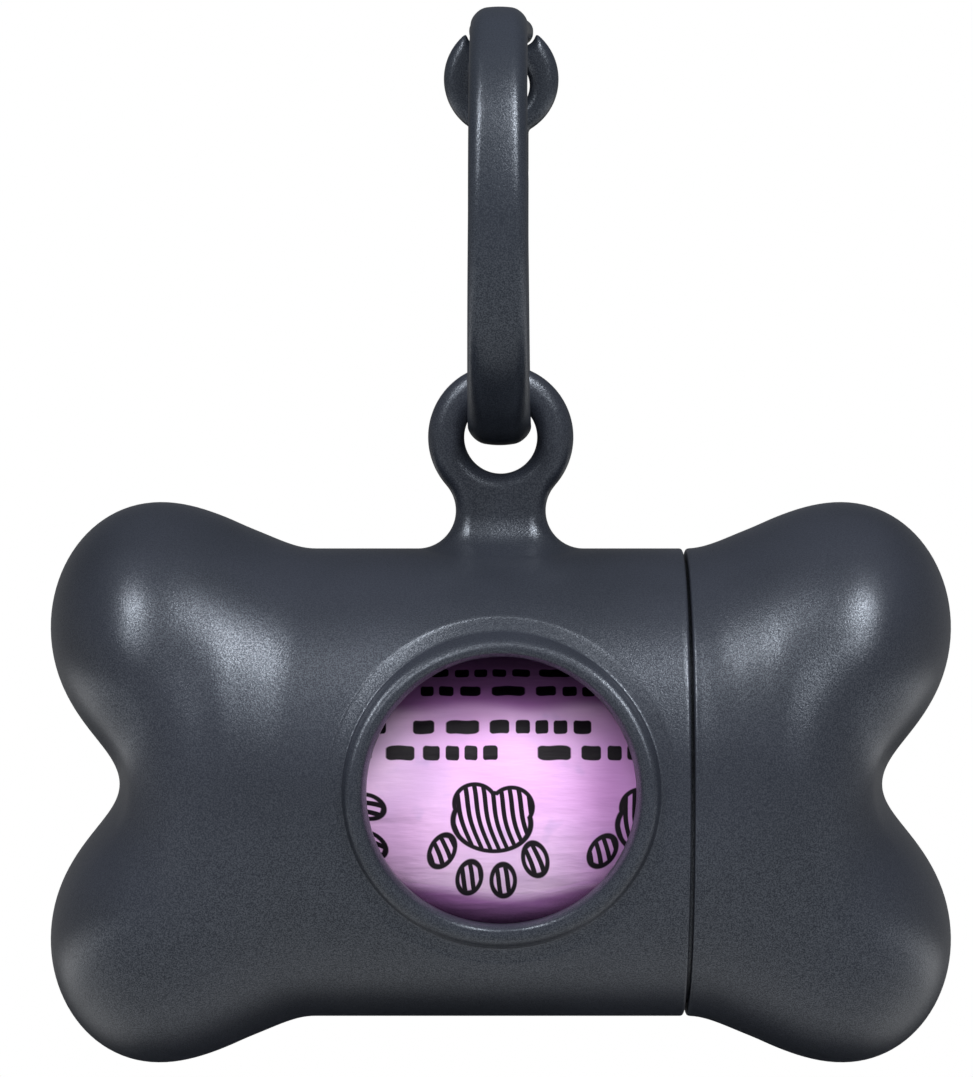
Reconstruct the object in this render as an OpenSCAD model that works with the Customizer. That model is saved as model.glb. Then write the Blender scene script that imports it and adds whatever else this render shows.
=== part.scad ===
// Bone-shaped dispenser for a roll of small waste bags.
// A two-part moulded bone holds the roll, a round window lets the bags out,
// and a one-piece snap loop through the eye on top hangs it from a leash.
// X runs along the bone, Y from front to back, Z up. Millimetres.
// The origin is the point inside the top of the loop where a leash bears.

/* [Bag roll] */
// Diameter of the full roll
roll_d = 32.5; // [28:0.1:36]
// Length of the roll
roll_l = 57; // [52:0.5:64]
// Outer diameter of the paper core
core_d = 13; // [10:0.5:16]
// Wall thickness of the paper core
core_wall = 1; // [0.6:0.1:1.5]
// Gap between the film and the core
film_gap = 0.05; // [0.02:0.01:0.1]

/* [Barrel] */
// Room between a full roll and the barrel, as a difference of radius
roll_room = 2.65; // [2:0.05:3.5]
// Gap under the roll where it rests in the barrel
roll_gap = 0.2; // [0.1:0.05:0.3]
// Wall thickness of the barrel
wall = 2.4; // [2.2:0.1:3]
// Open width of the seam
seam_gap = 0.3; // [0.2:0.05:0.5]
// Chamfer on both edges of the seam
seam_chamfer = 0.25; // [0.1:0.05:0.4]

/* [Bone ends] */
// How far the centres of the lobes lie beyond the ends of the roll
lobe_out = 3.4; // [2.8:0.1:5]
// Height of a lobe's centre over the axis of the barrel
lobe_z = 14.25; // [13:0.05:16]
// Half of a lobe's size along the bone
lobe_rx = 9; // [8.5:0.1:10.5]
// Half of a lobe's size from front to back
lobe_ry = 17.7; // [13:0.1:18]
// Half of a lobe's height
lobe_rz = 10.85; // [10:0.1:12.5]
// How far the barrel reaches beyond the ends of the roll, between the lobes
end_out = 2.5; // [2.3:0.1:5]
// Rounding of the barrel's end under the lobes
end_round = 7; // [6:0.5:9]
// Softness of the blends among the barrel and its lobes
blend = 14.1; // [10:0.1:15]
// Wall thickness of the bone ends
end_wall = 2; // [1.8:0.1:2.3]

/* [Window] */
// Radius of the round window
window_r = 11.8; // [10:0.1:12]
// Width of the raised lip round the window
lip_w = 2; // [1.6:0.1:2.2]
// Height of the lip's crest over the barrel
lip_h = 0.75; // [0.4:0.05:1]
// Width of the shallow dish that runs round the lip
dish_w = 1.6; // [1:0.1:2]
// Depth of the dish where it meets the lip
dish_d = 0.25; // [0.15:0.05:0.4]
// How far the funnel inside the lip sinks under the barrel's surface
funnel = 0.6; // [0.3:0.1:1]

/* [Cap joint] */
// Bare wall between the window and the tip of the spigot
window_rim = 0.7; // [0.5:0.1:2]
// Length of the spigot that pushes into the barrel
spigot_l = 4.2; // [3:0.1:4.4]
// Radial running gap between spigot and barrel
spigot_gap = 0.08; // [0.04:0.01:0.1]
// Share of the wall's thickness that the spigot takes
spigot_wall = 1.15; // [0.9:0.05:1.2]
// Width of the locating rib that keys the cap to the barrel
key_w = 2.6; // [2:0.1:4]
// Gap on each side of the locating rib
key_gap = 0.2; // [0.1:0.05:0.4]

/* [Eye] */
// Radius of the hole in the eye
eye_hole_r = 3.33; // [3.2:0.01:4]
// Thickness of the ring round the hole
eye_ring = 3.3; // [2.8:0.1:4]
// Depth of the eye from front to back
eye_d = 4.5; // [4.1:0.1:6]
// Height of the hole's centre over the top of the barrel
eye_up = 10.16; // [9.6:0.05:12]
// Width of the neck at its narrowest
neck_w = 8.2; // [7:0.1:9.5]
// Depth of the neck from front to back
neck_d = 4.2; // [3.6:0.1:5]

/* [Snap loop] */
// Outer radius of the loop
loop_r = 19.8; // [18:0.1:24]
// Width of the loop's band at its top
band_w = 5.2; // [4.6:0.1:5.6]
// Width of the loop's band in the eye
band_low_w = 5.8; // [5:0.1:5.9]
// Thickness of the loop's band
band_t = 3.1; // [2.6:0.1:3.2]
// Gap between the band and the top of the hole that it hangs in
hang_gap = 0.06; // [0.03:0.01:0.1]
// Outer radius of the eyelet that the hook snaps into
eyelet_r = 5.45; // [5.2:0.05:6]
// Radius of the eyelet's hole
eyelet_hole_r = 2.7; // [2.4:0.05:2.8]
// Thickness of the eyelet
eyelet_t = 3; // [2.6:0.1:3.2]
// Height of the eyelet's centre over the centre of the loop
eyelet_up = 15.1; // [14.6:0.1:15.4]
// Width of the hook where it lies in the notch of the eyelet
hook_w = 6; // [5.2:0.1:6.2]
// Thickness of the hook where it passes over the eyelet
hook_t = 2.2; // [1.8:0.1:2.4]
// Gap between hook and eyelet
hook_gap = 0.3; // [0.2:0.05:0.4]

/* [Hidden] */
$fn = 96;

roll_r = roll_d / 2;
chamber_r = roll_r + roll_room;
barrel_r = chamber_r + wall;
// The seam of the cap lies one spigot beyond the bare wall round the window.
seam_x = window_r + window_rim + spigot_l;
lobe_x = roll_l / 2 + lobe_out;
end_x = roll_l / 2 + end_out;
roll_z = roll_gap + roll_r - chamber_r;
eye_r = eye_hole_r + eye_ring;
eye_z = barrel_r + eye_up;
// Corner radius of the band, and the height over the hole's centre at which
// its upper corners bear on the round top of the hole.
band_c = band_t * 0.48;
band_up = band_c + sqrt(pow(eye_hole_r - hang_gap - band_c, 2)
                        - pow(band_low_w / 2 - band_c, 2));
loop_z = eye_z + band_up - band_t + loop_r;
loop_m = loop_r - band_t / 2;
// The leash bears here, and the model's origin is here.
hang_z = loop_z + loop_r - band_t;

// How many facets go round the bone, and where its rings of points lie: cross
// sections from the seam to pole_x, then rays that turn towards the end.
around = 48;
pole_x = end_x - end_round - 0.6;
// Longer than any ray from the pole to the skin.
span = norm([lobe_x + lobe_rx - pole_x, lobe_z + lobe_rz]) + blend / 2;
turns = [90, 82, 74.5, 67, 60, 53, 47, 41, 35, 29, 23, 16, 8];
// The blend sets in beside the seam: the share of it that is there at once,
// where the lobes are still too far off to show it, and the length over which
// the rest follows.
first_share = 0.54;
fade = 5.7;

function clamp01(t) = min(1, max(0, t));

// Distance of a point from the barrel, which ends in a rounded edge.
function barrel_far(p) =
    let (out = norm([p.y, p.z]) - barrel_r + end_round,
         past = p.x - end_x + end_round)
    min(max(out, past), 0) + norm([max(out, 0), max(past, 0)]) - end_round;

// Distance of a point from the upper lobe (side 1) or the lower one (side -1).
function lobe_far(p, side) =
    let (q = [p.x - lobe_x, p.y, p.z - side * lobe_z],
         k = norm([q.x / lobe_rx, q.y / lobe_ry, q.z / lobe_rz]),
         g = norm([q.x / pow(lobe_rx, 2), q.y / pow(lobe_ry, 2),
                   q.z / pow(lobe_rz, 2)]))
    k * (k - 1) / max(g, 0.001);

// The smaller of two distances, with a soft change from one to the other.
function melt(a, b, k) = min(a, b) - pow(max(k - abs(a - b), 0), 3) / (6 * k * k);

// Distance from the bone: barrel and lobes flow into each other.
function bone_far(p) =
    let (rest = pow(1 - clamp01((p.x - seam_x) / fade), 2),
         k = blend * (1 - (1 - first_share) * rest))
    melt(barrel_far(p), melt(lobe_far(p, 1), lobe_far(p, -1), k), k);

// How far a ray from point o along v runs before it lies at the given depth
// under the skin, found by halving the stretch that it must end in.
function reach(o, v, deep, low = 0, high = span, left = 15) =
    let (m = (low + high) / 2)
    left == 0 ? m
    : bone_far(o + m * v) < -deep ? reach(o, v, deep, m, high, left - 1)
    : reach(o, v, deep, low, m, left - 1);

// One ring of points on the skin, square to the axis at x.
function slice_ring(x, deep) =
    [for (i = [0:around - 1])
        let (a = 360 * i / around, v = [0, cos(a), sin(a)], o = [x, 0, 0])
        o + v * reach(o, v, deep)];

// One ring of points on the skin, on a cone of rays turned from the axis.
function turned_ring(turn, deep) =
    [for (i = [0:around - 1])
        let (a = 360 * i / around,
             v = [cos(turn), sin(turn) * cos(a), sin(turn) * sin(a)],
             o = [pole_x, 0, 0])
        o + v * reach(o, v, deep)];

function round_ring(x, r, n = around) =
    [for (i = [0:n - 1]) [x, r * cos(360 * i / n), r * sin(360 * i / n)]];

// A closed skin over rings of equally many points, with a tip point or a flat
// face at the far end and a flat face at the near end.
module skin(rings, tip = []) {
    n = len(rings[0]);
    m = len(rings);
    points = concat([for (r = rings) each r], tip);
    sides = [for (j = [0:m - 2], i = [0:n - 1])
        let (a = j * n + i, b = j * n + (i + 1) % n)
        each [[a, a + n, b], [b, a + n, b + n]]];
    near = [[for (i = [0:n - 1]) i]];
    last = (m - 1) * n;
    far = len(tip) == 0
        ? [[for (i = [n - 1:-1:0]) last + i]]
        : [for (i = [0:n - 1]) [last + i, m * n, last + (i + 1) % n]];
    polyhedron(points, concat(near, sides, far));
}

// The +X end of the bone from x on. It starts with the rings given.
module bone_end(x, first) {
    steps = [for (i = [0:4]) x + (pole_x - x) * i / 5];
    tip = [pole_x + reach([pole_x, 0, 0], [1, 0, 0], 0), 0, 0];
    skin(concat(first,
                [for (s = steps) slice_ring(s, 0)],
                [for (t = turns) turned_ring(t, 0)]), [tip]);
}

// The hollow of the +X end.
module bone_hollow() {
    start = pole_x - 4;
    tip = [pole_x + reach([pole_x, 0, 0], [1, 0, 0], end_wall), 0, 0];
    skin(concat([for (s = [start, pole_x - 2]) slice_ring(s, end_wall)],
                [for (t = turns) turned_ring(t, end_wall)]), [tip]);
}

module along_x(x0, x1, r) {
    translate([x0, 0, 0]) rotate([0, 90, 0]) cylinder(r = r, h = x1 - x0);
}

// The raised lip, as rings that keep their height over the round barrel.
module window_lip() {
    crest = window_r + lip_w * 0.62;
    // The funnel's slope, carried on past the edge that the window cuts.
    slope = (funnel + lip_h * 0.55) / (lip_w * 0.28);
    profile = [[window_r - 0.4, -wall * 0.8], [window_r - 0.4, -funnel - 0.4 * slope],
               [crest - lip_w * 0.34, lip_h * 0.55],
               [crest - lip_w * 0.14, lip_h * 0.93], [crest, lip_h],
               [crest + lip_w * 0.16, lip_h * 0.86],
               [crest + lip_w * 0.3, lip_h * 0.45],
               [window_r + lip_w, -0.15], [window_r + lip_w, -wall * 0.8]];
    saddle_ring(profile);
}

// The shallow dish that runs round the lip, to be cut from the barrel.
module window_dish() {
    foot = window_r + lip_w;
    saddle_ring([[foot - 0.5, -dish_d], [foot - 0.5, 1], [foot + dish_w, 1],
                 [foot + dish_w, 0.08], [foot + dish_w * 0.5, -dish_d * 0.7],
                 [foot + 0.1, -dish_d]]);
}

// A ring round the window whose profile, given as radius and height over the
// barrel from inside outwards, rides on the round barrel.
module saddle_ring(profile) {
    n = 72;
    m = len(profile);
    over = [for (i = [0:n - 1], q = profile)
        let (a = 360 * i / n, x = q[0] * cos(a), z = q[0] * sin(a))
        [x, -sqrt(pow(barrel_r, 2) - z * z) - q[1], z]];
    faces = [for (i = [0:n - 1], j = [0:m - 1])
        let (a = i * m + j, b = i * m + (j + 1) % m,
             c = (i + 1) % n * m + j, d = (i + 1) % n * m + (j + 1) % m)
        each [[a, c, b], [b, c, d]]];
    polyhedron(over, faces);
}

// The ring of the eye, with a rounded section.
module eye_ring_solid() {
    c = eye_ring / 2;
    translate([0, 0, eye_z]) rotate([90, 0, 0]) rotate_extrude()
        translate([eye_hole_r + c, 0]) {
            translate([-c, c - eye_d / 2]) square([2 * c, eye_d - 2 * c]);
            for (s = [-1, 1]) translate([0, s * (eye_d / 2 - c)]) circle(c);
        }
}

// The neck. Its sides are single arcs that touch the barrel below and the ring
// of the eye above, and its foot follows the round of the barrel.
module neck() {
    b = 2 * eye_up + 2 * eye_r - neck_w;
    c = pow(neck_w / 2, 2) + pow(eye_up, 2) - pow(eye_r, 2);
    f = (b - sqrt(b * b - 4 * c)) / 2;
    top = f + (eye_up - f) * f / (f + eye_r);
    n = 32;
    rings = [for (k = [-1:13])
        let (z = k < 0 ? 0.02 : 0.02 + (top - 0.02) * k / 12,
             spread = f - sqrt(max(0, f * f - pow(f - z, 2))),
             inside = k > 12 ? 0.6 : 0,
             w = neck_w / 2 + spread - inside,
             d = neck_d / 2 + (z < f ? spread : 0) - inside,
             fall = pow(max(0, 1 - z / top), 2))
        [for (i = [0:n - 1])
            let (a = 360 * i / n,
                 x = w * sign(cos(a)) * pow(abs(cos(a)), 0.75),
                 y = d * sign(sin(a)) * pow(abs(sin(a)), 0.75),
                 drop = barrel_r - sqrt(pow(barrel_r, 2) - y * y))
            [x, y, barrel_r + z - drop * fall - (k < 0 ? wall * 0.6 : 0)]]];
    points = [for (r = rings) each r];
    m = len(rings);
    sides = [for (j = [0:m - 2], i = [0:n - 1])
        let (p = j * n + i, q = j * n + (i + 1) % n)
        each [[p, p + n, q], [q, p + n, q + n]]];
    floor_points = [[for (i = [0:n - 1]) i]];
    roof = [[for (i = [n - 1:-1:0]) (m - 1) * n + i]];
    polyhedron(points, concat(floor_points, sides, roof));
}

// The room for the roll: a true bore, and the hollow of the end behind it.
module chamber() {
    along_x(-pole_x - 1, seam_x + 1, chamber_r);
    mirror([1, 0, 0]) bone_hollow();
}

module body_shell() {
    edge = seam_x - seam_gap / 2;
    color([0.25, 0.27, 0.31]) difference() {
        union() {
            difference() {
                rotate([0, 90, 0]) rotate_extrude() polygon([
                    [0, -seam_x], [barrel_r, -seam_x], [barrel_r, edge - seam_chamfer],
                    [barrel_r - seam_chamfer, edge], [0, edge]]);
                window_dish();
            }
            mirror([1, 0, 0]) bone_end(seam_x + 1, [
                round_ring(seam_x - 1.5, barrel_r - wall / 2),
                round_ring(seam_x - 0.5, barrel_r - 0.02)]);
            window_lip();
            eye_ring_solid();
            neck();
        }
        chamber();
        // The step that the cap's spigot slides into, less its locating rib.
        difference() {
            along_x(edge - spigot_l - 0.1, edge + 1, chamber_r + spigot_wall + spigot_gap);
            translate([edge - spigot_l - 1, -key_w / 2, -barrel_r])
                cube([spigot_l + 0.5, key_w, barrel_r - chamber_r + 1.5]);
        }
        rotate([90, 0, 0]) cylinder(r = window_r, h = barrel_r + 5);
    }
}

module end_cap() {
    edge = seam_x + seam_gap / 2;
    tip = seam_x - seam_gap / 2 - spigot_l;
    color([0.25, 0.27, 0.31]) difference() {
        union() {
            bone_end(edge + seam_chamfer, [round_ring(edge, barrel_r - seam_chamfer)]);
            along_x(tip, edge + 3, chamber_r + spigot_wall);
        }
        along_x(tip - 1, pole_x + 1, chamber_r);
        bone_hollow();
        translate([tip - 1, -key_w / 2 - key_gap, -barrel_r])
            cube([spigot_l + seam_gap / 2 + 1, key_w + 2 * key_gap, barrel_r - chamber_r + 3]);
    }
}

// Points of an arc in the plane of the loop, as [y, z, width, thickness].
function arc(cy, cz, r, from, to, n, w0, w1, t0, t1) =
    [for (i = [0:n])
        let (s = i / n, a = from + (to - from) * s)
        [cy + r * cos(a), cz + r * sin(a), w0 + (w1 - w0) * s, t0 + (t1 - t0) * s]];

// Round-cornered section across the band, at a point of its path.
function band_ring(p, dir) =
    let (n = 24, c = p[3] * 0.48, w = p[2] / 2 - c, t = p[3] / 2 - c,
         out = [dir[1], -dir[0]])
    [for (i = [0:n - 1])
        let (a = 360 * (i + 0.5) / n,
             x = c * cos(a) + w * sign(cos(a)),
             u = c * sin(a) + t * sign(sin(a)))
        [x, p[0] + out[0] * u, p[1] + out[1] * u]];

module clip_strap() {
    // Where the hook comes over the eyelet, and the peg that enters its hole.
    saddle = eyelet_up + eyelet_hole_r + 1 - 0.6;
    over_z = loop_z + saddle + hook_gap + hook_t / 2;
    peg_z = loop_z + eyelet_up - 0.6;
    back_y = loop_m + eyelet_t / 2 + hook_gap + hook_t / 2;
    bend = hook_t * 0.75;
    low = band_low_w;
    path = concat(
        [[loop_m - 0.4, peg_z, hook_t, hook_t]],
        arc(back_y - bend, peg_z + bend, bend, -90, 0, 5, hook_t, 3.4, hook_t, hook_t),
        arc(back_y - bend, over_z - bend, bend, 0, 90, 5, 3.8, hook_w, hook_t, hook_t),
        [[loop_m - eyelet_t / 2 - 0.8, over_z - 0.1, hook_w, hook_t],
         [loop_m * 0.55, loop_z + loop_m + 0.5, band_w, (hook_t + band_t) / 2]],
        arc(0, loop_z, loop_m, 90, 180, 16, band_w, band_w, band_t, band_t),
        arc(0, loop_z, loop_m, 185, 270, 15, band_w, low, band_t, band_t),
        arc(0, loop_z, loop_m, 276, 360, 14, low, band_w, band_t, band_t),
        [[loop_m, loop_z + eyelet_up - eyelet_r + 1, band_w, eyelet_t]]);
    m = len(path);
    rings = [for (j = [0:m - 1])
        let (p = path[max(0, j - 1)], q = path[min(m - 1, j + 1)],
             v = [q[0] - p[0], q[1] - p[1]])
        band_ring(path[j], v / norm(v))];
    color([0.26, 0.28, 0.32]) {
        skin(rings);
        difference() {
            translate([0, loop_m, loop_z + eyelet_up]) rotate([90, 0, 0])
                eyelet();
            translate([0, 0, loop_z + eyelet_up - 0.6]) rotate([-90, 0, 0])
                cylinder(r = eyelet_hole_r, h = loop_r + 5);
            translate([0, 0, loop_z + saddle]) rotate([-90, 0, 0])
                linear_extrude(loop_r + 5) notch();
        }
    }
}

// The round eyelet, with rounded edges, still without its hole.
module eyelet() {
    c = eyelet_t * 0.45;
    rotate_extrude() {
        translate([0, -eyelet_t / 2]) square([eyelet_r - c, eyelet_t]);
        translate([0, c - eyelet_t / 2]) square([eyelet_r, eyelet_t - 2 * c]);
        for (s = [-1, 1])
            translate([eyelet_r - c, s * (eyelet_t / 2 - c)]) circle(c);
    }
}

// The notch over the eyelet's hole, clear all round of the hook that lies in it.
module notch() {
    c = hook_t * 0.48 + hook_gap;
    w = hook_w / 2 + hook_gap;
    for (s = [-1, 1]) translate([s * (w - c), -c]) circle(c);
    translate([c - w, -c]) square([2 * (w - c), c]);
    translate([-w, -eyelet_r]) square([2 * w, eyelet_r - c]);
}

// The wound film, with softly rounded ends.
module bag_roll() {
    soft = 0.8;
    color([0.86, 0.7, 0.88]) translate([-roll_l / 2, 0, roll_z]) rotate([0, 90, 0])
        difference() {
            rotate_extrude() {
                translate([0, soft]) square([roll_r, roll_l - 2 * soft]);
                square([roll_r - soft, roll_l]);
                for (z = [soft, roll_l - soft])
                    translate([roll_r - soft, z]) circle(soft, $fn = 24);
            }
            translate([0, 0, -1]) cylinder(d = core_d + 2 * film_gap, h = roll_l + 2);
        }
}

module roll_core() {
    color([0.72, 0.6, 0.46]) translate([-roll_l / 2, 0, roll_z]) rotate([0, 90, 0])
        difference() {
            cylinder(d = core_d, h = roll_l);
            translate([0, 0, -1]) cylinder(d = core_d - 2 * core_wall, h = roll_l + 2);
        }
}

module place() {
    translate([0, 0, -hang_z]) children();
}

place() body_shell();
place() end_cap();
place() clip_strap();
place() bag_roll();
place() roll_core();
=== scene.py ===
"""Looks of a bone-shaped dispenser for small waste bags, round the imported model."""
import math
import bmesh
import bpy
import numpy as np
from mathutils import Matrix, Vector


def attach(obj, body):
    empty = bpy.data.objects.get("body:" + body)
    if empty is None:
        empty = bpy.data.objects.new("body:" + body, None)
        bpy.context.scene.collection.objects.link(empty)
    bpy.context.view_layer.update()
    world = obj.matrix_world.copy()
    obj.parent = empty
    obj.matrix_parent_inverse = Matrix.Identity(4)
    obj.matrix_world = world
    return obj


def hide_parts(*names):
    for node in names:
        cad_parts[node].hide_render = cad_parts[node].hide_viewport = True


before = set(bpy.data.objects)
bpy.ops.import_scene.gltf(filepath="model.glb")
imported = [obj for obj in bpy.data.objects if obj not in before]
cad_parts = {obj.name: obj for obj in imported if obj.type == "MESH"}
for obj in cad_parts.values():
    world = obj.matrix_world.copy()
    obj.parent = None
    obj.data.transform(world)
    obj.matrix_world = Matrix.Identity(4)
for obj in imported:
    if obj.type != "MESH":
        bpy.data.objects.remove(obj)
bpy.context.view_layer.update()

# Sizes in millimetres, with the barrel's axis at z = 0, as in the CAD source.
HANG = 67.4351                              # how far the barrel's axis hangs under the origin
R, BORE = 21.3, 18.9                        # the barrel's outer and inner radius
SEAM, EDGE = 16.7, 16.55                    # the middle of the seam, and the body's edge at it
LOBE = (31.9, 14.25, 9.0, 17.7, 10.85)      # a lobe's centre in x and z, and its half sizes
DROOP = 2.6                                 # how far the lobes' fronts and backs close up
END_X, END_R = 31.0, 7.0                    # the barrel's end under the lobes, and its rounding
BLEND, FADE = 14.1, 5.7                     # softness of the blends, and where it comes in
POLE = 23.4                                 # where the rings of a bone end start to turn
WALL_END = 2.0                              # wall of the bone ends
WIN = 11.8                                  # radius of the window
BOX, BOX_IN = (-16.4, 16.3), 12.12          # the patch of the barrel round the window, in x
STEP_R, STEP_X = 20.13, 12.25               # the step in the bore that takes the spigot
SPIGOT_R, SPIGOT_TIP = 20.05, 12.35
RIB_W = 2.6                                 # width of the locating rib
EYE_Z, EYE_HOLE, EYE_RING, EYE_D = 31.46, 3.33, 3.3, 4.5
NECK_F, NECK_W = 3.46, 8.2                  # fillet and width of the eye's neck
LOOP_Z, LOOP_M = 50.7351, 18.25             # the loop's centre and its band's mean radius
EYELET_R, EYELET_HOLE, EYELET_T = 5.45, 2.7, 3.0
ROLL_R, ROLL_L, ROLL_Z, CORE_R = 16.25, 57.0, -2.45, 6.5


# ---------------------------------------------------------------- the skin
def melt(a, b, k):
    """The smaller of two distances, blended over k."""
    return np.minimum(a, b) - np.maximum(k - np.abs(a - b), 0) ** 3 / (6 * k * k)


def round_join(a, b, r):
    """The smaller of two distances, with a round fillet of radius r."""
    return np.maximum(r, np.minimum(a, b)) - np.hypot(np.maximum(r - a, 0), np.maximum(r - b, 0))


def bone(p):
    """Distance from the bone's skin, as in the CAD source, with the lobes' fronts and
    backs drawn a little towards each other."""
    x, y, z = np.abs(p[..., 0]), p[..., 1], p[..., 2]
    out, past = np.hypot(y, z) - R + END_R, x - END_X + END_R
    tube = np.minimum(np.maximum(out, past), 0) + np.hypot(np.maximum(out, 0), np.maximum(past, 0)) - END_R
    cx, cz, rx, ry, rz = LOBE
    lobes, droop = [], DROOP * (y / ry) ** 2
    for s in (1, -1):
        q = (x - cx, y, z - s * (cz - droop))
        k = np.sqrt((q[0] / rx) ** 2 + (q[1] / ry) ** 2 + (q[2] / rz) ** 2)
        g = np.sqrt((q[0] / rx ** 2) ** 2 + (q[1] / ry ** 2) ** 2 + (q[2] / rz ** 2) ** 2)
        lobes.append(k * (k - 1) / np.maximum(g, 0.001))
    k = BLEND * (1 - 0.46 * (1 - np.clip((x - SEAM) / FADE, 0, 1)) ** 2)
    return melt(tube, melt(lobes[0], lobes[1], k), k)


def reach(o, v, deep):
    """Points where rays from o along v lie at the given depth under the skin."""
    lo, hi = np.zeros(len(v)), np.full(len(v), 36.0)
    for _ in range(34):
        m = (lo + hi) / 2
        inside = bone(o + m[:, None] * v) < -deep
        lo, hi = np.where(inside, m, lo), np.where(inside, hi, m)
    return o + lo[:, None] * v


AROUND = 256
TH = 2 * np.pi * np.arange(AROUND) / AROUND     # 0 faces front, a quarter faces up


def circle_ring(x, r):
    """A ring of the barrel at x."""
    return np.stack([np.full(AROUND, float(x)), -r * np.cos(TH), r * np.sin(TH)], 1)


def slice_ring(x, deep):
    """The skin's ring in an upright slice at x."""
    v = np.stack([np.zeros(AROUND), -np.cos(TH), np.sin(TH)], 1)
    return reach(np.array([float(x), 0, 0]), v, deep)


def turned_ring(turn, deep):
    """The skin's ring on a cone round the pole, turn degrees wide."""
    t = math.radians(turn)
    v = np.stack([np.full(AROUND, math.cos(t)), -math.sin(t) * np.cos(TH), math.sin(t) * np.sin(TH)], 1)
    return reach(np.array([POLE, 0, 0]), v, deep)


def end_rings(start, deep):
    """Rings of the +X end from x = start on, and its last point."""
    n = max(3, int((POLE - start) / 0.4))
    rings = [slice_ring(x, deep) for x in np.linspace(start, POLE, n, endpoint=False)]
    rings += [turned_ring(t, deep) for t in np.linspace(90, 1.6, 64)]
    tip = reach(np.array([POLE, 0, 0]), np.array([[1.0, 0, 0]]), deep)
    return rings, tip


class Net:
    """Points and faces gathered from rings of points."""

    def __init__(self):
        self.p, self.f, self.t, self.n = [], [], [], 0

    def add(self, points):
        points = np.asarray(points, float)
        shape = points.shape[:-1]
        idx = np.arange(self.n, self.n + int(np.prod(shape))).reshape(shape)
        self.p.append(points.reshape(-1, 3))
        self.n += idx.size
        return idx

    def join(self, a, b, wrap=True):
        a2, b2 = np.roll(a, -1), np.roll(b, -1)
        quads = np.stack([a, b, b2, a2], 1)
        self.f.append(quads if wrap else quads[:-1])

    def loft(self, rings, wrap=True):
        for a, b in zip(rings[:-1], rings[1:]):
            self.join(a, b, wrap)

    def cone(self, ring, point):
        i = self.add(np.asarray(point).reshape(1, 3))[0]
        self.t.append(np.stack([ring, np.full(len(ring), i), np.roll(ring, -1)], 1))

    def cap(self, ring):
        self.cone(ring, np.concatenate(self.p)[ring].mean(0))


def make(name, net, body, node, shift=None, sharp=32):
    """A mesh object from a net, in the shared frame and on its body."""
    p = np.concatenate(net.p)
    if shift is not None:
        p = shift(p)
    p = (p - [0, 0, HANG]) * 0.001
    faces = [q.tolist() for f in net.f + net.t for q in f]
    me = bpy.data.meshes.new(name)
    me.from_pydata(p.tolist(), [], faces)
    bm = bmesh.new()
    bm.from_mesh(me)
    bmesh.ops.recalc_face_normals(bm, faces=bm.faces)
    bm.to_mesh(me)
    bm.free()
    me.shade_smooth()
    me.set_sharp_from_angle(angle=math.radians(sharp))
    ob = bpy.data.objects.new(name, me)
    bpy.context.scene.collection.objects.link(ob)
    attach(ob, body)
    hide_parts(node)
    return ob


def soft_curve(points):
    """Corner cutting: a smooth open curve that keeps its ends."""
    p = np.asarray(points, float)
    for _ in range(2):
        a, b = p[:-1] * 0.75 + p[1:] * 0.25, p[:-1] * 0.25 + p[1:] * 0.75
        p = np.concatenate([p[:1], np.stack([a, b], 1).reshape(-1, p.shape[1])[1:-1], p[-1:]])
    return p


def spline(keys, n):
    """A smooth curve through the keys, n points to each stretch."""
    k = np.asarray(keys, float)
    k = np.concatenate([[2 * k[0] - k[1]], k, [2 * k[-1] - k[-2]]])
    out = []
    for a, b, c, d in zip(k[:-3], k[1:-2], k[2:-1], k[3:]):
        for t in np.arange(n) / n:
            out.append(0.5 * (2 * b + (c - a) * t + (2 * a - 5 * b + 4 * c - d) * t * t
                              + (3 * b - a - 3 * c + d) * t ** 3))
    out.append(k[-2])
    return np.array(out)


def box_loop(x0, x1, za, zb, radius, n_side, n_flat):
    """The edge of a rectangle on a round tube, anticlockwise from lower right."""
    th = np.linspace(za, zb, n_side + 1)
    xs = np.linspace(x1, x0, n_flat + 1)
    right = [(x1, t) for t in th[:-1]]
    top = [(x, zb) for x in xs[:-1]]
    left = [(x0, t) for t in th[::-1][:-1]]
    low = [(x, za) for x in xs[::-1][:-1]]
    q = np.array(right + top + left + low)
    return np.stack([q[:, 0], radius * np.sin(q[:, 1])], 1)


def on_tube(xz, radius, lift=0.0):
    """Points of the front plane laid on the front of a round tube."""
    return np.stack([xz[:, 0], -np.sqrt(radius ** 2 - xz[:, 1] ** 2) - lift, xz[:, 1]], 1)


# The lip round the window: radius and height over the barrel, from outside inwards,
# and the radius of the patch that it lies in.
LIP_ROOM = 15.9
LIP = soft_curve([(15.75, 0.0), (15.35, 0.0), (15.15, -0.1), (14.5, -0.2), (14.0, -0.26), (13.86, -0.1),
                  (13.72, 0.3), (13.4, 0.66), (13.0, 0.76), (12.6, 0.62), (12.2, 0.3), (11.95, -0.25),
                  (11.8, -0.75)])


def between(n):
    """n - 1 even steps between 0 and 1, without the ends."""
    return np.linspace(0, 1, n + 1)[1:-1]


def beside(net, radius, xs, first, last, k):
    """The tube between two rings but for k steps each way round its front, as columns."""
    rows = np.arange(k, AROUND - k + 1)
    cols = [first[rows]] + [net.add(circle_ring(x, radius)[rows]) for x in xs[1:-1]] + [last[rows]]
    net.loft(cols, wrap=False)
    top, low = np.array([c[0] for c in cols]), np.array([c[-1] for c in cols])
    side = np.arange(-k, k + 1) % AROUND
    return top, low, side


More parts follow.
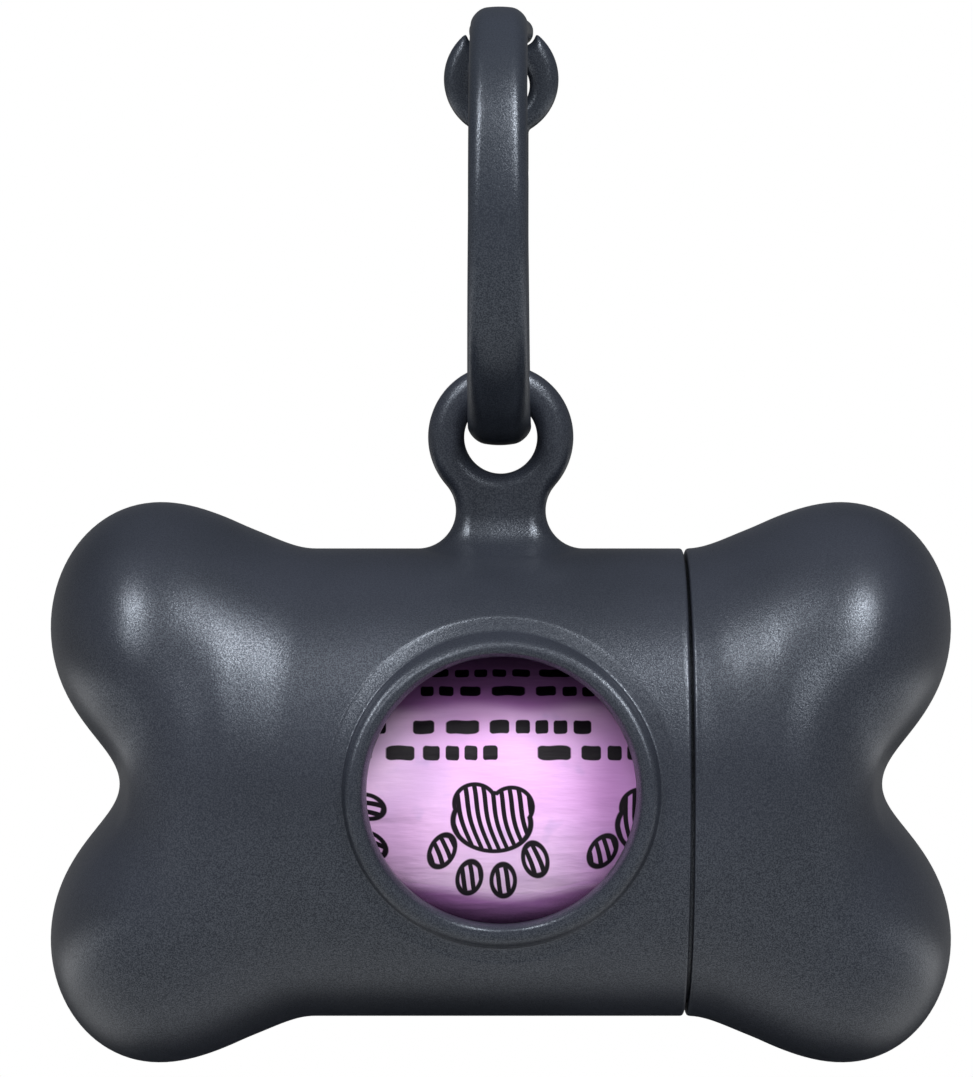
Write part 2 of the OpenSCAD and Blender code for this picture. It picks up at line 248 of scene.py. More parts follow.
def make_shell():
    """The barrel with its window and lip, and the closed end, outside and inside."""
    net = Net()
    n_side, n_flat = 76, 76
    k = n_side // 2
    xs = np.linspace(*BOX, n_flat + 1)
    first, last = net.add(circle_ring(xs[0], R)), net.add(circle_ring(xs[-1], R))
    top, low, side = beside(net, R, xs, first, last, k)
    edge = np.concatenate([last[side][:-1], top[::-1][:-1], first[side][::-1][:-1], low[:-1]])
    box = box_loop(xs[0], xs[-1], -TH[k], TH[k], R, n_side, n_flat)
    turn = 2 * np.pi * (np.arange(len(box)) / len(box) - 0.125)
    disc = np.stack([np.cos(turn), np.sin(turn)], 1)
    rings = [edge]
    rings += [net.add(on_tube(box * (1 - t) + disc * LIP_ROOM * t, R)) for t in between(6)]
    rings += [net.add(on_tube(disc * r, R, h)) for r, h in LIP]
    # Through the wall, then over the bore to the inner box.
    outer = on_tube(disc * WIN, R, LIP[-1][1])
    inner = on_tube(disc * WIN, BORE)
    rings += [net.add(outer * (1 - t) + inner * t) for t in between(6)]
    rings.append(net.add(on_tube(disc * (WIN + 0.12), BORE)))
    net.loft(rings)
    # The inner box has its corners six points further round than the outer one.
    hole, disc_in = np.roll(rings[-1], -6), np.roll(disc, -6, axis=0)
    n_side, n_flat = 64, 88
    k = n_side // 2
    xs = np.linspace(-BOX_IN, BOX_IN, n_flat + 1)
    far, near = net.add(circle_ring(xs[0], BORE)), net.add(circle_ring(xs[-1], BORE))
    top, low, side = beside(net, BORE, xs, far, near, k)
    edge = np.concatenate([near[side][:-1], top[::-1][:-1], far[side][::-1][:-1], low[:-1]])
    box = box_loop(xs[0], xs[-1], -TH[k], TH[k], BORE, n_side, n_flat)
    rings = [hole]
    rings += [net.add(on_tube(box * t + disc_in * (WIN + 0.12) * (1 - t), BORE)) for t in between(5)]
    net.loft(rings + [edge])
    # The open edge with its chamfer, and the step that takes the spigot.
    rim = [(EDGE - 0.15, R - 0.03), (EDGE - 0.06, R - 0.1), (EDGE, R - 0.22), (EDGE, R - 0.5),
           (EDGE, STEP_R + 0.07), (EDGE - 0.05, STEP_R), (14.5, STEP_R), (STEP_X + 0.05, STEP_R),
           (STEP_X, STEP_R - 0.08), (STEP_X, BORE + 0.05), (STEP_X - 0.05, BORE)]
    net.loft([last] + [net.add(circle_ring(x, r)) for x, r in rim] + [near])
    # The closed end on the other side, outside and inside.
    flip = np.array([-1.0, 1, 1])
    rings, tip = end_rings(16.8, 0)
    idx = [first] + [net.add(r * flip) for r in rings]
    net.loft(idx)
    net.cone(idx[-1], tip * flip)
    rings, tip = end_rings(20.4, WALL_END)
    idx = [far] + [net.add(circle_ring(x, BORE)) for x in (-15, -18, -19.7)]
    idx += [net.add(r * flip) for r in rings]
    net.loft(idx)
    net.cone(idx[-1], tip * flip)
    # The locating rib in the step.
    half, z0, z1 = RIB_W / 2, -20.6, -BORE - 0.05
    section = [(-half, z0), (half, z0), (half, z1), (-half, z1)]
    a, b = (net.add([(x, y, z) for y, z in section]) for x in (12.0, 16.05))
    net.join(a, b)
    net.cap(a)
    net.cap(b)
    return net


def make_cap():
    """The bone end that pulls off, with its spigot."""
    net = Net()
    rings, tip = end_rings(17.15, 0)
    edge = SEAM * 2 - EDGE
    rim = [(edge, BORE + 0.1), (edge, R - 0.5), (edge, R - 0.22), (edge + 0.06, R - 0.1),
           (edge + 0.15, R - 0.03)]
    front = [net.add(circle_ring(x, r)) for x, r in rim]
    idx = front + [net.add(r) for r in rings]
    net.loft(idx)
    net.cone(idx[-1], tip)
    rings, tip = end_rings(20.4, WALL_END)
    idx = [front[0]] + [net.add(circle_ring(x, BORE)) for x in (edge + 0.1, 18.3, 19.7)]
    idx += [net.add(r) for r in rings]
    net.loft(idx)
    net.cone(idx[-1], tip)
    # The spigot, open at the bottom where the locating rib slides in.
    gap = math.degrees((RIB_W / 2 + 0.2) / 19.5)
    root = edge + 0.45
    section = [(root, SPIGOT_R), (SPIGOT_TIP + 0.4, SPIGOT_R), (SPIGOT_TIP + 0.1, SPIGOT_R - 0.2),
               (SPIGOT_TIP, SPIGOT_R - 0.45), (SPIGOT_TIP, BORE + 0.15), (SPIGOT_TIP + 0.15, BORE + 0.02),
               (root, BORE + 0.02)]
    rings = []
    for t in np.radians(np.linspace(-90 + gap, 270 - gap, 181)):
        rings.append(net.add([(x, r * math.cos(t), r * math.sin(t)) for x, r in section]))
    net.loft(rings)
    net.cap(rings[0])
    net.cap(rings[-1])
    return net


def surface(field, low, high, step, keep=None):
    """Mesh of field = 0 in a box: one point in each cell that the surface
    crosses, then moved onto the surface along the field's slope. Faces with
    no point in keep are left out."""
    axes = [np.arange(a, b + step, step) for a, b in zip(low, high)]
    grid = np.stack(np.meshgrid(*axes, indexing="ij"), -1)
    v = field(grid)
    sign = v < 0
    s = [n - 1 for n in sign.shape]
    corners = [(i, j, k) for i in (0, 1) for j in (0, 1) for k in (0, 1)]

    def part(a, c):
        return a[c[0]:c[0] + s[0], c[1]:c[1] + s[1], c[2]:c[2] + s[2]]
    count = sum(part(sign, c).astype(int) for c in corners)
    cell = (count > 0) & (count < 8)
    total, weight = np.zeros(tuple(s) + (3,)), np.zeros(tuple(s))
    for a in corners:
        for axis in range(3):
            if a[axis]:
                continue
            b = tuple(c + (n == axis) for n, c in enumerate(a))
            va, vb = part(v, a), part(v, b)
            cross = (va < 0) != (vb < 0)
            t = np.where(cross, va / np.where(cross, va - vb, 1), 0)
            at = np.stack([np.full(s, float(c)) for c in a], -1)
            at[..., axis] += t
            total += at * cross[..., None]
            weight += cross
    ids = np.full(tuple(s), -1)
    ids[cell] = np.arange(cell.sum())
    base = np.stack(np.nonzero(cell), -1)
    p = np.array(low) + step * (base + total[cell] / weight[cell][:, None])
    h = 0.01
    for _ in range(4):
        g = np.stack([(field(p + d) - field(p - d)) / (2 * h) for d in np.eye(3) * h], -1)
        p = p - field(p)[:, None] * g / np.maximum((g ** 2).sum(1), 0.05)[:, None]
    quads = []
    for axis in range(3):
        u, w = [n for n in range(3) if n != axis]
        a = [slice(1, s[n]) for n in range(3)]
        a[axis] = slice(0, s[axis])
        b = list(a)
        b[axis] = slice(1, s[axis] + 1)
        cross = sign[tuple(a)] != sign[tuple(b)]
        at = np.stack(np.nonzero(cross), -1)
        at[:, u] += 1
        at[:, w] += 1
        around = []
        for du, dw in ((0, 0), (1, 0), (1, 1), (0, 1)):
            c = at.copy()
            c[:, u] -= du
            c[:, w] -= dw
            around.append(ids[c[:, 0], c[:, 1], c[:, 2]])
        q = np.stack(around, 1)
        quads.append(q[(q >= 0).all(1)])
    quads = np.concatenate(quads)
    if keep is not None:
        good = keep(p)
        quads = quads[good[quads].any(1)]
        used = np.unique(quads)
        new = np.full(len(p), -1)
        new[used] = np.arange(len(used))
        p, quads = p[used], new[quads]
    return p, quads


def rounded_plate(flat, y, half, c):
    """A flat outline given by its distance, half thick each way, edges rounded."""
    a, b = flat + c, np.abs(y) - half + c
    return np.minimum(np.maximum(a, b), 0) + np.hypot(np.maximum(a, 0), np.maximum(b, 0)) - c


def eye_field(p):
    """Distance from the eye and its waisted neck, blended into the barrel."""
    x, y, z = np.abs(p[..., 0]), p[..., 1], p[..., 2]
    cx, cz = NECK_W / 2 + NECK_F, R + NECK_F
    outer = EYE_HOLE + EYE_RING
    ring = np.hypot(x, z - EYE_Z)
    away = np.hypot(x - cx, z - cz)
    arc = NECK_F - away
    side = x - NECK_W / 2
    turn = np.arctan2(z - cz, cx - x)
    limit = math.atan2(EYE_Z - cz, cx)
    flat = np.where(turn > limit, ring - outer, np.where(turn > 0, arc, side))
    flat = np.where((z < EYE_Z) & (x < cx) & (turn > limit) & (z < cz + 1e-9), side, flat)
    flat = np.maximum(flat, EYE_HOLE - ring)
    plate = rounded_plate(flat, y, EYE_D / 2, 1.62)
    barrel = np.hypot(y, z) - R
    return round_join(plate, barrel, NECK_F)


def make_eye(net):
    """Adds what stands out of the barrel."""
    def keep(p):
        return np.hypot(p[:, 1], p[:, 2]) - R > 0.004
    p, q = surface(eye_field, (-9, -7.5, 19.5), (9, 7.5, 38.8), 0.2, keep)
    idx = net.add(p)
    net.f.append(idx[q])


def band_section(w, t, c, crown):
    """A flat band's section with round corners and slightly crowned faces."""
    x, u = [], []
    for k, (sx, su) in enumerate(((1, 1), (-1, 1), (-1, -1), (1, -1))):
        a = np.linspace(k, k + 1, 11) * np.pi / 2
        x += list(sx * (w / 2 - c) + c * np.cos(a))
        u += list(su * (t / 2 - c) + c * np.sin(a))
        flat = np.linspace(0, 1, 10)[1:-1]
        if k % 2 == 0:
            x += list(su * (w / 2 - c) * (1 - 2 * flat))
            u += list(su * t / 2 + 0 * flat)
        else:
            x += list(sx * w / 2 + 0 * flat)
            u += list(su * (t / 2 - c + 0.001) * (1 - 2 * flat))
    x, u = np.array(x), np.array(u)
    return x, u * (1 + 2 * crown / t * (0.4 - (x / (w / 2)) ** 2))


def make_loop():
    """The band from the hook's tip over the top, down the front and through the eye
    to the leg, and the eyelet on the leg."""
    net = Net()
    m, lz = LOOP_M, LOOP_Z
    keys = []   # y, z, width, thickness, corner, crown

    def arc(cy, cz, r, turn, n, width, thick, corner, crown=(0.1, 0.1)):
        """Keys round a centre, each value going evenly from its first to its last."""
        for i in range(n + 1):
            a, *rest = (b + (e - b) * i / n for b, e in (turn, width, thick, corner, crown))
            a = math.radians(a)
            keys.append((cy + r * math.cos(a), cz + r * math.sin(a), *rest))
    keys.append((17.85, lz + 14.5, 2.2, 2.2, 1.0, 0.1))
    arc(19.5, lz + 16.15, 1.65, (-90, 0), 4, (2.2, 3.4), (2.2, 2.2), (1.0, 0.9))
    arc(19.5, lz + 17.95, 1.65, (0, 90), 4, (3.8, 6.0), (2.2, 2.2), (0.95, 1.0))
    keys.append((15.95, lz + 19.5, 6.0, 2.2, 1.0, 0.15))
    keys.append((10.04, lz + 19.0, 5.3, 2.6, 1.2, 0.3))
    keys.append((5.0, lz + 18.55, 5.2, 2.85, 1.35, 0.35))
    arc(0, lz, m, (90, 180), 10, (5.2, 5.2), (3.1, 3.1), (1.5, 1.1), (0.38, 0.1))
    arc(0, lz, m, (189, 270), 9, (5.25, 5.8), (3.1, 3.1), (1.1, 1.5), (0.1, 0.55))
    arc(0, lz, m, (279, 360), 9, (5.75, 5.2), (3.1, 3.1), (1.5, 1.1), (0.5, 0.1))
    keys.append((m, lz + 3.5, 5.2, 3.05, 1.0, 0.1))
    keys.append((m, lz + 5.6, 5.2, 3.04, 1.05, 0.1))
    keys.append((m, lz + 7.4, 5.08, 2.92, 1.05, 0.1))
    path = spline(keys, 7)
    d = np.gradient(path[:, :2], axis=0)
    d /= np.linalg.norm(d, axis=1)[:, None]
    rings = []
    for (y, z, w, t, c, crown), (dy, dz) in zip(path, d):
        x, u = band_section(w, t, min(c, t / 2 - 0.02), crown)
        rings.append(net.add(np.stack([x, y + dz * u, z - dy * u], 1)))
    net.loft(rings)
    net.cap(rings[0])
    net.cap(rings[-1])

    def field(p):
        x, y, z = p[..., 0], p[..., 1] - m, p[..., 2] - lz
        disc = np.hypot(x, z - 15.1) - EYELET_R
        hole = EYELET_HOLE - np.hypot(x, z - 14.5)
        a, b = np.abs(x) - 1.94, 19.56 - z      # the notch that the hook lies in
        notch = 1.36 - np.minimum(np.maximum(a, b), 0) - np.hypot(np.maximum(a, 0), np.maximum(b, 0))
        flat = -melt(-disc, -notch, 0.5)
        flat = np.maximum(flat, hole)
        eyelet = rounded_plate(flat, y, EYELET_T / 2, 1.15)
        sunk = np.maximum(6.6 - z, 0) * 0.04    # the leg's foot lies inside the band
        leg = rounded_plate(np.abs(x) - 2.6 + sunk, np.abs(y) + sunk, 1.52, 1.1)
        leg = np.maximum(leg, np.maximum(z - 11.2, 5.2 - z))
        return melt(eyelet, leg, 0.4)
    p, q = surface(field, (-6.4, 16.0, lz + 4.6), (6.4, 20.5, lz + 21.2), 0.17)
    net.f.append(net.add(p)[q])
    return net


def lean(p):
    """The loop hangs turned a little on its upright axis, as in the photograph."""
    q = p.copy()
    q[:, 0] += -0.115 + 0.0118 * p[:, 1]
    return q


# ---------------------------------------------------------------- the film
def wobble(a, b):
    """Smooth uneven numbers from two coordinates, the same on every run."""
    return (np.sin(1.7 * a + 0.6 * b + 0.4) + 0.6 * np.sin(2.9 * a - 1.3 * b + 2.1)
            + 0.45 * np.sin(0.7 * a + 3.1 * b + 4.0) + 0.3 * np.sin(5.3 * a + 2.2 * b)) / 2.35


def make_film():
    """The wound roll with soft edges, and the layers at its ends."""
    net = Net()
    n, m = 360, 150
    th = 2 * np.pi * np.arange(n) / n           # 0 faces front, a quarter up
    # The edge is rounded: how far in from the end, and how far under the skin.
    inset, under = np.array([0.0, 0.2, 0.5]), [0.8, 0.42, 0.14]
    xs = np.concatenate([inset, np.linspace(0.9, ROLL_L - 0.9, m), (ROLL_L - inset)[::-1]]) - ROLL_L / 2
    drop = np.concatenate([under, np.zeros(m), under[::-1]])
    X, T = np.meshgrid(xs, th, indexing="ij")
    r = ROLL_R - drop[:, None] - 0.12 + 0.06 * wobble(X * 0.22, T * 2.0) + 0.035 * wobble(X * 0.7 + 3, T * 5)

    def ring(x, radius):
        points = [np.full(n, x), -radius * np.cos(th), ROLL_Z + radius * np.sin(th)]
        return net.add(np.stack(points, 1))
    rings = [ring(x, radius) for x, radius in zip(xs, r)]
    net.loft(rings)
    # Flat ends in from the edge to the core, with the layers of film.
    bore = CORE_R + 0.05
    for outer, x, s in ((rings[0], xs[0], -1), (rings[-1], xs[-1], 1)):
        chain = [outer]
        for k, q in enumerate(np.linspace(ROLL_R - 1.6, bore, 26)):
            dx = 0.12 * math.sin(k * 2.4) - 0.1
            chain.append(ring(x + s * dx, q))
        net.loft(chain)
    net.loft([ring(x, bore) for x in (xs[0] + 0.3, xs[-1] - 0.3)])
    return net


# ---------------------------------------------------------------- materials
class V:
    """A node socket or number with plain arithmetic."""

    def __init__(self, tree, out):
        self.tree, self.out = tree, out

    def op(self, kind, *others):
        node = self.tree.nodes.new("ShaderNodeMath")
        node.operation = kind
        for i, a in enumerate((self,) + others):
            if isinstance(a, V):
                self.tree.links.new(a.out, node.inputs[i])
            else:
                node.inputs[i].default_value = a
        return V(self.tree, node.outputs[0])

    def __add__(self, b): return self.op("ADD", b)
    def __radd__(self, b): return self.op("ADD", b)
    def __sub__(self, b): return self.op("SUBTRACT", b)
    def __rsub__(self, b): return (self * -1) + b
    def __mul__(self, b): return self.op("MULTIPLY", b)
    def __rmul__(self, b): return self.op("MULTIPLY", b)
    def __truediv__(self, b): return self.op("DIVIDE", b)
    def min(self, b): return self.op("MINIMUM", b)
    def max(self, b): return self.op("MAXIMUM", b)
    def abs(self): return self.op("ABSOLUTE")
    def sin(self): return self.op("SINE")
    def cos(self): return self.op("COSINE")
    def floor(self): return self.op("FLOOR")
    def wrap(self, hi, lo): return self.op("WRAP", hi, lo)
    def sqrt(self): return self.op("SQRT")

    def step(self, lo, hi, a=0.0, b=1.0):
        """From a at lo to b at hi, smoothly."""
        node = self.tree.nodes.new("ShaderNodeMapRange")
        node.interpolation_type = "SMOOTHSTEP"
        self.tree.links.new(self.out, node.inputs["Value"])
        for k, x in (("From Min", lo), ("From Max", hi), ("To Min", a), ("To Max", b)):
            node.inputs[k].default_value = x
        return V(self.tree, node.outputs["Result"])


class Paint:
    """A material and short ways to add nodes to it."""

    def __init__(self, name):
        self.mat = bpy.data.materials.new(name)
        self.mat.use_nodes = True
        self.tree = self.mat.node_tree
        self.bsdf = self.tree.nodes["Principled BSDF"]

    def node(self, kind, **inputs):
        n = self.tree.nodes.new(kind)
        for k, x in inputs.items():
            self.put(n.inputs[k.replace("_", " ")], x)
        return n

    def put(self, socket, x):
        if isinstance(x, V):
            self.tree.links.new(x.out, socket)
        elif hasattr(x, "is_output"):
            self.tree.links.new(x, socket)
        else:
            socket.default_value = x

    def set(self, **inputs):
        for k, x in inputs.items():
            self.put(self.bsdf.inputs[k.replace("_", " ")], x)

    def place(self, scale=(1, 1, 1)):
        at = self.node("ShaderNodeTexCoord").outputs["Object"]
        return self.node("ShaderNodeMapping", Vector=at, Scale=scale).outputs[0]

    def noise(self, at, scale, detail=2.0, rough=0.5):
        return V(self.tree, self.node("ShaderNodeTexNoise", Vector=at, Scale=scale, Detail=detail,
                                      Roughness=rough).outputs["Fac"])

    def cells(self, at, scale):
        return V(self.tree, self.node("ShaderNodeTexVoronoi", Vector=at, Scale=scale).outputs["Distance"])

    def mix(self, f, a, b):
        n = self.tree.nodes.new("ShaderNodeMix")
        n.data_type = "RGBA"
        self.put(n.inputs[0], f)
        self.put(n.inputs[6], a)
        self.put(n.inputs[7], b)
        return n.outputs[2]

    def bump(self, height, distance, strength):
        return self.node("ShaderNodeBump", Height=height, Distance=distance, Strength=strength).outputs[0]


def rgb(r, g, b):
    """A colour given as in a picture, 0 to 255, for a shader."""
    part = [c / 255 for c in (r, g, b)]
    return tuple([c / 12.92 if c <= 0.04045 else ((c + 0.055) / 1.055) ** 2.4 for c in part] + [1.0])


def plastic(name, dark, pale, rough=0.335):
    """Moulded plastic with a fine spark-eroded grain."""
    m = Paint(name)
    at = m.place()
    broad = m.noise(at, 55, 3.0)
    fine = m.noise(at, 5200, 2.0, 0.6)
    grit = m.noise(at, 8600, 1.0, 0.5)
    fleck = m.cells(at, 6400)
    m.set(Base_Color=m.mix(broad.step(0.3, 0.7) * 0.6 + grit.step(0.6, 0.8) * 0.4, dark, pale))
    m.set(Roughness=broad * 0.05 + fine * 0.14 + (rough - 0.1))
    # Single grains shine more or less than the ones beside them.
    m.set(Specular_IOR_Level=grit.step(0.34, 0.68) * 0.66 + 0.25, Specular_Tint=(0.8, 0.88, 1.0, 1))
    m.set(Normal=m.bump(fine * 0.7 + fleck * 0.4 + grit * 0.3, 0.000019, 1.0))
    return m.mat


def film_paint(name):
    """Thin lilac film, wound tight, with a dark print of paws and dashes, and painted shade."""
    m = Paint(name)
    xyz = m.node("ShaderNodeSeparateXYZ", Vector=m.node("ShaderNodeTexCoord").outputs["Object"])
    # u runs along the roll and v round it, 0 in front, both in millimetres.
    u, y, z = (V(m.tree, xyz.outputs[i]) * 1000 for i in range(3))
    z = z + (HANG - ROLL_Z)
    v = z.op("ARCTAN2", y * -1) * ROLL_R
    # Print of outlined and hatched paws, three times round the roll.
    third = ROLL_R * math.pi / 3
    lap = v.wrap(third, -third)
    pitch, start, scale = 14.2, 8.1, 0.8
    col = ((u + start) / pitch).floor()
    cu = ((u + start) - col * pitch - pitch / 2) * scale
    cv = (lap + 2.2 + (col * 2.4).sin() * 0.9) * scale
    ang = (col * 1.9 + 0.5).sin() * 0.7 + 2.9
    ca, sa = ang.cos(), ang.sin()
    pu, pv = cu * ca - cv * sa, cu * sa + cv * ca

    def oval(cx, cy, rx, ry, tilt=0.0):
        """About the distance from an oval."""
        c, s = math.cos(tilt), math.sin(tilt)
        a = (pu - cx) * (c / rx) + (pv - cy) * (s / rx)
        b = (pu - cx) * (-s / ry) + (pv - cy) * (c / ry)
        return ((a * a + b * b).sqrt() - 1) * min(rx, ry)
    pad = oval(0, -1.5, 2.9, 2.2).min(oval(-1.3, -2.7, 1.6, 1.5)).min(oval(1.3, -2.7, 1.6, 1.5))
    paw = pad
    for cx, cy, t in ((-3.3, 0.9, 0.35), (-1.2, 2.7, 0.1), (1.2, 2.7, -0.1), (3.3, 0.9, -0.35)):
        paw = paw.min(oval(cx, cy, 0.95, 1.4, t))
    line = (paw + 0.12).abs().step(0.19, 0.11)
    strokes = pu * 0.93 + pv * 0.37 + (pv * 1.1).sin() * 0.16 + (pu * 0.7).sin() * 0.1
    hatch = (strokes * (2 * math.pi / 0.62)).sin()
    ink = line.max(hatch.step(-0.3, 0.1) * paw.step(0.0, -0.1))
    # Rows of plain dashes above and below them.
    period, half_long, round_off = 2.35, 0.82, 0.3
    for v0, half_tall, seed in ((5.9, 0.66, 1.3), (8.4, 0.66, 4.7), (12.3, 0.55, 2.9), (14.6, 0.5, 0.7),
                                (-13.0, 0.62, 0.4)):
        q = u + (u * 0.42 + seed).sin() * 1.1 + seed
        a = (q.wrap(period, 0.0) - 1.17).abs() - half_long + round_off
        b = (lap - v0 + (u * 3.1 + seed).sin() * 0.03).abs() - half_tall + round_off
        dash = (a.max(0.0) * a.max(0.0) + b.max(0.0) * b.max(0.0)).sqrt() - round_off
        # Now and then a whole dash is left out.
        gate = ((q / period).floor() * 2.4 + seed * 2).sin().step(-0.935, -0.93)
        ink = ink.max(dash.step(0.07, -0.03) * gate)
    # The print stops short of the roll's ends, which show the layers' edges.
    ink = ink * u.abs().step(ROLL_L / 2 - 1.5, ROLL_L / 2 - 1.3, 1.0, 0.0)
    ends = u.abs().step(ROLL_L / 2 - 1.2, ROLL_L / 2 - 0.3)
    flat = m.node("ShaderNodeCombineXYZ", X=u * 0.001, Y=v * 0.001).outputs[0]
    soft = m.noise(flat, 120, 3.0)
    cloud = m.noise(flat, 45, 2.0)
    crease = m.node("ShaderNodeMapping", Vector=flat, Scale=(0.35, 1.6, 1))
    wrinkle = m.noise(crease.outputs[0], 260, 4.0, 0.55)
    blot = m.noise(flat, 330, 2.0, 0.6)
    base = m.mix(cloud.step(0.35, 0.7), rgb(216, 166, 220), rgb(240, 206, 240))
    base = m.mix(soft.step(0.4, 0.75) * 0.4, base, rgb(198, 160, 216))
    base = m.mix(blot.step(0.58, 0.74) * 0.3, base, rgb(170, 150, 200))
    # Below a curved fold the film lies double and is stronger in colour there, and that zone is also painted
    # darker as shade. A band near the top is painted shadow under the window's rim, and the roll is painted
    # darker towards its sides as shade; the ends show their layers' edges in the same colour.
    fold = v + 7.0 - u * u * 0.014 + (u * 0.5 + 1.0).sin() * 0.25
    deep = fold.step(0.3, -0.9).max((v - 10.6 + (u * 0.6).sin() * 0.3).step(-0.9, 0.7))
    # Painted shade towards the sides of the roll, more to the right and lower down.
    painted_side_shade = (u.abs() + u * 0.35 - v * 0.25).step(6.0, 13.0) * 0.6
    base = m.mix(deep.max(painted_side_shade).max(ends) * 0.8, base, rgb(156, 86, 166))
    # Painted shadow: a thin dark line along the fold, under the edge of the upper layer.
    fold_shadow_line = fold.abs().step(0.45, 0.0) * (1 - ends) * 0.35
    base = m.mix(fold_shadow_line, base, rgb(120, 66, 136))
    base = m.mix(ink, base, rgb(12, 5, 15))
    # Painted shade: film in a gap or under the window's rim is painted nearly black in its colour, by
    # ambient occlusion.
    near = m.node("ShaderNodeAmbientOcclusion", Distance=0.004)
    near.samples = 8
    open_sky = V(m.tree, near.outputs["AO"])
    base = m.mix(open_sky.step(0.16, 0.56), rgb(26, 12, 34), base)
    m.set(Base_Color=base, Roughness=soft * 0.15 + 0.36, Specular_IOR_Level=0.22)
    m.set(Normal=m.bump(wrinkle + soft * 0.5 + fold.step(0.25, -0.25) * 0.25, 0.0005, 0.4))
    return m.mat


def board(name):
    """Grey-brown board with fibres along the roll."""
    m = Paint(name)
    fibre = m.noise(m.place((0.3, 1, 1)), 900, 4.0)
    m.set(Base_Color=m.mix(fibre.step(0.3, 0.7), rgb(150, 122, 92), rgb(186, 160, 126)))
    m.set(Roughness=fibre * 0.2 + 0.7)
    m.set(Normal=m.bump(fibre, 0.0001, 0.6))
    return m.mat


# ---------------------------------------------------------------- the pieces
shell_net = make_shell()
make_eye(shell_net)
shell = make("bone_body", shell_net, "bone", "body_shell")
cap = make("bone_cap", make_cap(), "cap", "end_cap")
loop = make("snap_loop", make_loop(), "loop", "clip_strap", shift=lean, sharp=40)
film = make("film_roll", make_film(), "roll", "bag_roll", sharp=50)

body_mat = plastic("body_plastic", rgb(33, 36, 43), rgb(42, 45, 54))
strap_mat = plastic("strap_plastic", rgb(33, 37, 44), rgb(42, 46, 55), 0.32)
film_mat = film_paint("bag_film")
for ob, mat in ((shell, body_mat), (cap, body_mat), (loop, strap_mat), (film, film_mat)):
    ob.data.materials.append(mat)
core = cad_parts["roll_core"]
core.data.materials.clear()
core.data.materials.append(board("core_board"))

# ---------------------------------------------------------------- the studio
scene = bpy.context.scene
scene.view_settings.view_transform = "Standard"
cam = bpy.data.cameras.new("camera")
cam.lens, cam.sensor_width, cam.sensor_fit = 164.69, 36.0, "AUTO"
cam.clip_start, cam.clip_end = 0.02, 20
eye = bpy.data.objects.new("camera", cam)
eye.location = (-0.0013, -0.450, 0.0222 - HANG / 1000)
eye.rotation_euler = (math.radians(90), 0, 0)
scene.collection.objects.link(eye)
scene.camera = eye


def lamp(name, azimuth, elevation, size, power):
    """A square soft lamp that faces the part. Azimuth 0 is in front."""
    a, e = math.radians(azimuth), math.radians(elevation)
    back = np.array([math.sin(a) * math.cos(e), -math.cos(a) * math.cos(e), math.sin(e)])
    data = bpy.data.lights.new(name, "AREA")
    data.shape, data.size, data.size_y, data.energy = "RECTANGLE", size, size, power
    ob = bpy.data.objects.new(name, data)
    ob.location = np.array([0, 0, -0.05]) + back * 0.9
    ob.rotation_euler = Vector(-back).to_track_quat("-Z", "Y").to_euler()
    scene.collection.objects.link(ob)


lamp("key_left", -44, 53, 0.24, 4.1)
lamp("key_right", 36, 54, 0.24, 5.4)
lamp("low_left", -40, 34, 0.3, 1.9)
lamp("low_right", 26, 34, 0.3, 2.1)


def seen_by(tree):
    """Whether a ray comes straight from the camera, and whether from a reflection or glass."""
    ray = tree.nodes.new("ShaderNodeLightPath")
    camera, glossy, through = (V(tree, ray.outputs[k]) for k in
                               ("Is Camera Ray", "Is Glossy Ray", "Is Transmission Ray"))
    return camera, glossy.max(through)


# The backdrop is white. Reflections meet it too, with the dark room over it.
world = bpy.data.worlds.new("world")
scene.world = world
world.use_nodes = True
nodes, links = world.node_tree.nodes, world.node_tree.links
nodes.clear()
camera, mirror = seen_by(world.node_tree)
way = nodes.new("ShaderNodeSeparateXYZ")
links.new(nodes.new("ShaderNodeTexCoord").outputs["Generated"], way.inputs[0])
up, back = V(world.node_tree, way.outputs[2]), V(world.node_tree, way.outputs[1])
room = up.step(-0.05, 0.6, 0.44, 0.07) * back.step(-0.1, 0.8, 1.0, 0.4)
shown = nodes.new("ShaderNodeBackground")
shown.inputs[0].default_value = (1, 1, 1, 1)
links.new(camera.max(room).out, shown.inputs[1])
fill = nodes.new("ShaderNodeBackground")
fill.inputs[0].default_value = (0.96, 0.98, 1.0, 1)
links.new(up.step(0.0, 0.8, 0.3, 1.1).out, fill.inputs[1])
pick = nodes.new("ShaderNodeMixShader")
out = nodes.new("ShaderNodeOutputWorld")
links.new(camera.max(mirror).out, pick.inputs[0])
links.new(fill.outputs[0], pick.inputs[1])
links.new(shown.outputs[0], pick.inputs[2])
links.new(pick.outputs[0], out.inputs[0])

